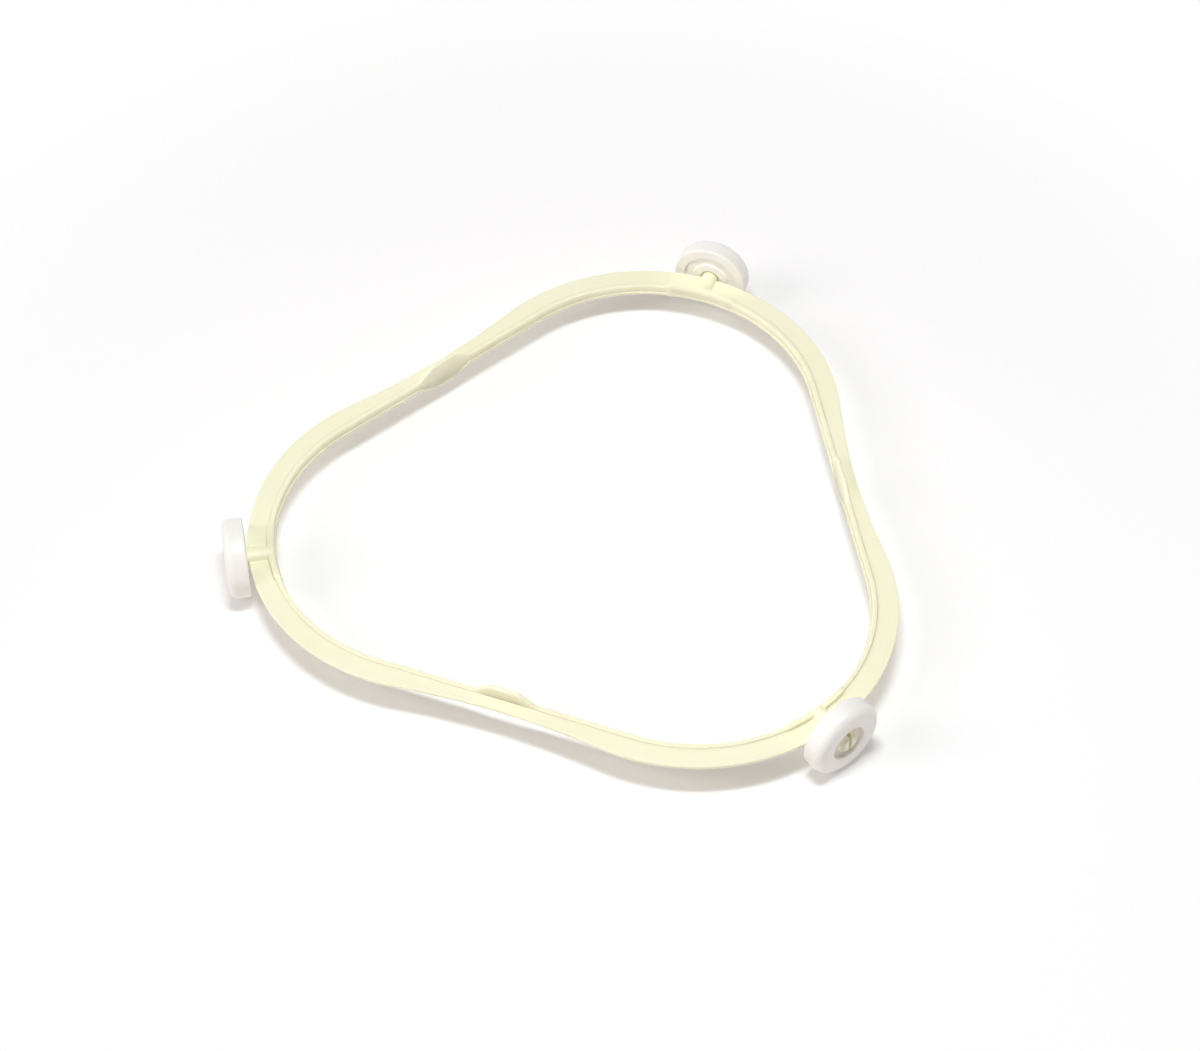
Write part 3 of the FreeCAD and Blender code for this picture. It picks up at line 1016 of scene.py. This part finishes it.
@dataclass
class Roller:
    """A white moulded roller, turned about its axle.

    Attributes:
        start: ring centre to the roller's inner face.
        height: axle above the floor.
        width: inner face to outer face.
        diameter: across the tread.
        turn: direction of the axle from the first lobe's.
        bore: hole for the axle.
        bore_lead: chamfer at both mouths of the bore.
        hub_diameter: hub round the bore on the inner face.
        rim_depth: rim from the tread in to the sunk ring round that hub.
        web_depth: depth of that sunk ring.
        recess_diameter: round recess in the outer face.
        recess_depth: depth of that recess.
        inner_round: rounding of the tread on the ring's side.
        outer_round: rounding of the tread on the outer side.
        mouth_round: rounding of the recess's mouth and floor.
        fine_round: rounding of the other edges.
    """

    start: float
    height: float
    width: float
    diameter: float
    turn: float = 0.0
    bore: float = 4.2 * MM
    bore_lead: float = 0.45 * MM
    hub_diameter: float = 8.8 * MM
    rim_depth: float = 2.5 * MM
    web_depth: float = 0.5 * MM
    recess_diameter: float = 8.5 * MM
    recess_depth: float = 1.5 * MM
    inner_round: float = 0.45 * MM
    outer_round: float = 2.0 * MM
    mouth_round: float = 0.5 * MM
    fine_round: float = 0.12 * MM

    FIRST = "roller_1"
    STATIONS = 128

    @classmethod
    def from_frame(cls) -> "Roller":
        """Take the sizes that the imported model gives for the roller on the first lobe.

        Returns:
            The roller, to be built.
        """
        low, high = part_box(cls.FIRST)
        middle = (low.z + high.z) / 2.0
        return cls(start=low.y, height=middle, width=high.y - low.y, diameter=high.z - low.z)

    def corners(self, tree: GeometryTree) -> list[Corner]:
        """Corners of the roller's half section: across along the axle, up from it.

        Args:
            tree: the roller's tree.

        Returns:
            The corners in order, from the bore over the outer face and the tread to the inner face.
        """
        width = tree.size("width")
        floor = width - tree.size("recess_depth")
        bore = tree.size("bore") / 2.0
        lead = tree.size("bore_lead")
        recess = tree.size("recess_diameter") / 2.0
        tread = tree.size("diameter") / 2.0
        rim = tread - tree.size("rim_depth")
        hub = tree.size("hub_diameter") / 2.0
        web = tree.size("web_depth")
        fine = tree.size("fine_round")
        mouth = tree.size("mouth_round")
        return [
            Corner(lead, bore, fine, steps=2),
            Corner(floor - lead, bore, fine, steps=2),
            Corner(floor, bore + lead, fine, steps=2),
            Corner(floor, recess, mouth),
            Corner(width, recess, mouth),
            Corner(width, tread, tree.size("outer_round"), steps=16),
            Corner(0.0, tread, tree.size("inner_round"), steps=5),
            Corner(0.0, rim, fine, steps=3),
            Corner(web, rim, fine, steps=3),
            Corner(web, hub, fine, steps=3),
            Corner(0.0, hub, fine, steps=3),
            Corner(0.0, bore + lead, fine, steps=2),
        ]

    def tree(self, finish: MouldedPlastic) -> GeometryTree:
        """The tree that turns a roller and sets it on its axle.

        Args:
            finish: the rollers' plastic.

        Returns:
            The tree.
        """
        tree = GeometryTree("turned_roller", asdict(self))
        loft = tree.loft(self.corners(tree), self.STATIONS, closed=True)
        angle = -loft.station * (math.tau / self.STATIONS)
        roller = tree.put(loft.mesh, loft.up * tree.maths("COSINE", angle), tree.size("start") + loft.across,
                          tree.size("height") + loft.up * tree.maths("SINE", angle))
        turned = tree.node("GeometryNodeTransform", {},
                           {"Geometry": roller, "Rotation": tree.vector(0.0, 0.0, tree.size("turn"))})
        tree.close(turned, finish.material())
        return tree

    def build(self, finish: MouldedPlastic) -> list[bpy.types.Object]:
        """Make one roller for each axle of the frame.

        Args:
            finish: the rollers' plastic.

        Returns:
            The rollers in the order of the frame's joints.
        """
        tree = self.tree(finish)
        rollers = []
        for number, joint in enumerate(frame["joints"], start=1):
            direction = math.atan2(joint["axis"][1], joint["axis"][0])
            rollers.append(tree.make(f"wheel_{number}", turn=direction - FIRST_LOBE))
        return rollers

    def dress(self, rollers: Sequence[bpy.types.Object]) -> None:
        """Set each roller on its own body in place of the plain solid.

        Args:
            rollers: the finished rollers, in the order of the frame's joints.
        """
        for roller, joint in zip(rollers, frame["joints"]):
            body = joint["child"]
            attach(roller, body)
            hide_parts(*frame["record"]["behaviour"]["bodies"][body])


@dataclass(frozen=True)
class SoftBox:
    """A flat lamp that is turned to the part's middle.

    Attributes:
        name: the lamp's name.
        strength: light on a white surface that faces it.
        colour: its colour.
        lean: how far it stands from upright.
        side: direction that it leans to, from +X towards +Y.
        long: its length, along the view's width.
        short: its other side.
        distance: lamp to the part's middle.
    """

    name: str
    strength: float
    colour: Colour
    lean: float
    side: float
    long: float
    short: float
    distance: float = 4.0

    def build(self, along: Vector) -> None:
        """Make the lamp.

        Args:
            along: direction that its long side runs in.
        """
        flat = math.sin(self.lean)
        back = Vector((flat * math.cos(self.side), flat * math.sin(self.side), math.cos(self.lean)))
        across = (along - back * along.dot(back)).normalized()
        lamp = bpy.data.lights.new(self.name, "AREA")
        lamp.shape = "RECTANGLE"
        lamp.size = self.long
        lamp.size_y = self.short
        lamp.energy = self.strength * (math.pi * self.distance) ** 2
        lamp.color = self.colour
        box = bpy.data.objects.new(self.name, lamp)
        box.location = back * self.distance
        box.rotation_euler = Matrix((across, back.cross(across), back)).transposed().to_euler()
        bpy.context.scene.collection.objects.link(box)


OVERHEAD = SoftBox("overhead_box", strength=0.62, colour=(0.915, 0.975, 0.985), lean=math.radians(7.4),
                   side=math.radians(290.0), long=0.2, short=0.09, distance=0.6)
WINDOW = SoftBox("window_box", strength=0.3, colour=(1.0, 0.94, 0.93), lean=math.radians(55.0),
                 side=math.radians(215.0), long=2.4, short=1.8)


@dataclass
class Studio:
    """A plain pale floor, soft boxes, an even fill and the camera.

    Attributes:
        floor_side: side of the floor.
        floor_colour: the floor's own colour.
        floor_lift: light that the floor adds for the camera, so that it shows white.
        floor_fade: distances from the middle at which the floor starts and ends turning to plain white.
        boxes: the lamps.
        fill_strength: light from all round.
        band_strength: what is added to it at the horizon.
        band_power: how closely that keeps to the horizon.
        fill_colour: colour of both.
        lens: focal length for a sensor 36 mm wide, in millimetres as Blender takes it.
        aim: point in the middle of the view.
        distance: camera to that point.
        azimuth: direction of the camera, from -Y towards +X.
        elevation: camera above the horizon.
    """

    floor_side: float = 6.0
    floor_colour: Colour = (0.93, 0.93, 0.93)
    floor_lift: float = 0.13
    floor_fade: tuple[float, float] = (0.1, 0.2)
    boxes: tuple[SoftBox, ...] = (OVERHEAD, WINDOW)
    fill_strength: float = 0.22
    band_strength: float = 1.9
    band_power: float = 8.0
    fill_colour: Colour = (1.0, 0.86, 0.85)
    lens: float = 86.4
    aim: tuple[float, float, float] = (2.38 * MM, -4.03 * MM, 9.55 * MM)
    distance: float = 658.0 * MM
    azimuth: float = math.radians(20.27)
    elevation: float = math.radians(49.8)

    def build(self) -> None:
        """Make the floor, the light and the camera."""
        self.floor()
        for box in self.boxes:
            box.build(Vector((math.cos(self.azimuth), math.sin(self.azimuth), 0.0)))
        self.surround()
        self.camera()
        bpy.context.scene.view_settings.view_transform = "Standard"

    def floor(self) -> None:
        """A pale floor that shows white to the camera and keeps its shadows."""
        half = self.floor_side / 2.0
        mesh = bpy.data.meshes.new("floor")
        mesh.from_pydata([(-half, -half, 0.0), (half, -half, 0.0), (half, half, 0.0), (-half, half, 0.0)], [],
                         [(0, 1, 2, 3)])
        floor = bpy.data.objects.new("floor", mesh)
        bpy.context.scene.collection.objects.link(floor)
        tree = ShaderTree("pale_floor")
        seen = self.seen(tree)
        lit = tree.node("ShaderNodeBsdfDiffuse", {}, {"Color": (*self.floor_colour, 1.0)})
        lift = tree.node("ShaderNodeEmission", {}, {"Strength": seen * self.floor_lift})
        near = tree.node("ShaderNodeAddShader", {}, {0: lit, 1: lift})
        white = tree.node("ShaderNodeEmission", {}, {"Strength": 1.0})
        reach = tree.node("ShaderNodeVectorMath", {"operation": "LENGTH"}, {0: tree.place}, "Value")
        away = tree.between(reach, *self.floor_fade) * seen
        shown = tree.node("ShaderNodeMixShader", {}, {"Fac": away, 1: near, 2: white})
        tree.node("ShaderNodeOutputMaterial", {}, {"Surface": shown})
        mesh.materials.append(tree.material)

    def seen(self, graph: Graph) -> Value:
        """Tell which rays show the surroundings: straight, in gloss or through glass.

        Args:
            graph: the tree that asks.

        Returns:
            One for such rays and zero for others.
        """
        rays = graph.node("ShaderNodeLightPath", {}, {}, "Is Camera Ray")
        gloss = graph.maths("MAXIMUM", rays.out("Is Glossy Ray"), rays.out("Is Transmission Ray"))
        return graph.maths("MAXIMUM", rays, gloss)

    def surround(self) -> None:
        """An even fill from all round, stronger near the horizon, which shows as plain white."""
        world = bpy.data.worlds.new("surround")
        world.use_nodes = True
        graph = Graph(world.node_tree)
        graph.tree.nodes.clear()
        direction = graph.node("ShaderNodeTexCoord", {}, {}, "Generated")
        rise = graph.node("ShaderNodeSeparateXYZ", {}, {"Vector": direction}, "Z")
        level = 1.0 - graph.maths("ABSOLUTE", rise)
        strength = self.fill_strength + self.band_strength * graph.maths("POWER", level, self.band_power)
        fill = graph.node("ShaderNodeBackground", {},
                          {"Color": (*self.fill_colour, 1.0), "Strength": strength})
        white = graph.node("ShaderNodeBackground", {}, {"Color": (1.0, 1.0, 1.0, 1.0), "Strength": 1.0})
        shown = graph.node("ShaderNodeMixShader", {}, {"Fac": self.seen(graph), 1: fill, 2: white})
        graph.node("ShaderNodeOutputWorld", {}, {"Surface": shown})
        bpy.context.scene.world = world

    def camera(self) -> None:
        """The camera, at the photograph's angle."""
        lens = bpy.data.cameras.new("camera")
        lens.lens = self.lens
        camera = bpy.data.objects.new("camera", lens)
        flat = math.cos(self.elevation)
        back = Vector((math.sin(self.azimuth) * flat, -math.cos(self.azimuth) * flat,
                       math.sin(self.elevation)))
        camera.location = Vector(self.aim) + back * self.distance
        camera.rotation_euler = back.to_track_quat("Z", "Y").to_euler()
        bpy.context.scene.collection.objects.link(camera)
        bpy.context.scene.camera = camera


def main() -> None:
    """Build the ring, its rollers and the studio round them."""
    logging.basicConfig(level=logging.INFO, format="%(name)s: %(message)s")
    ring_maker = MouldedRing.from_frame()
    ring = ring_maker.build(CREAM)
    ring_maker.dress(ring)
    roller_maker = Roller.from_frame()
    rollers = roller_maker.build(WHITE)
    roller_maker.dress(rollers)
    Studio().build()


if __name__ == "__main__":
    main()
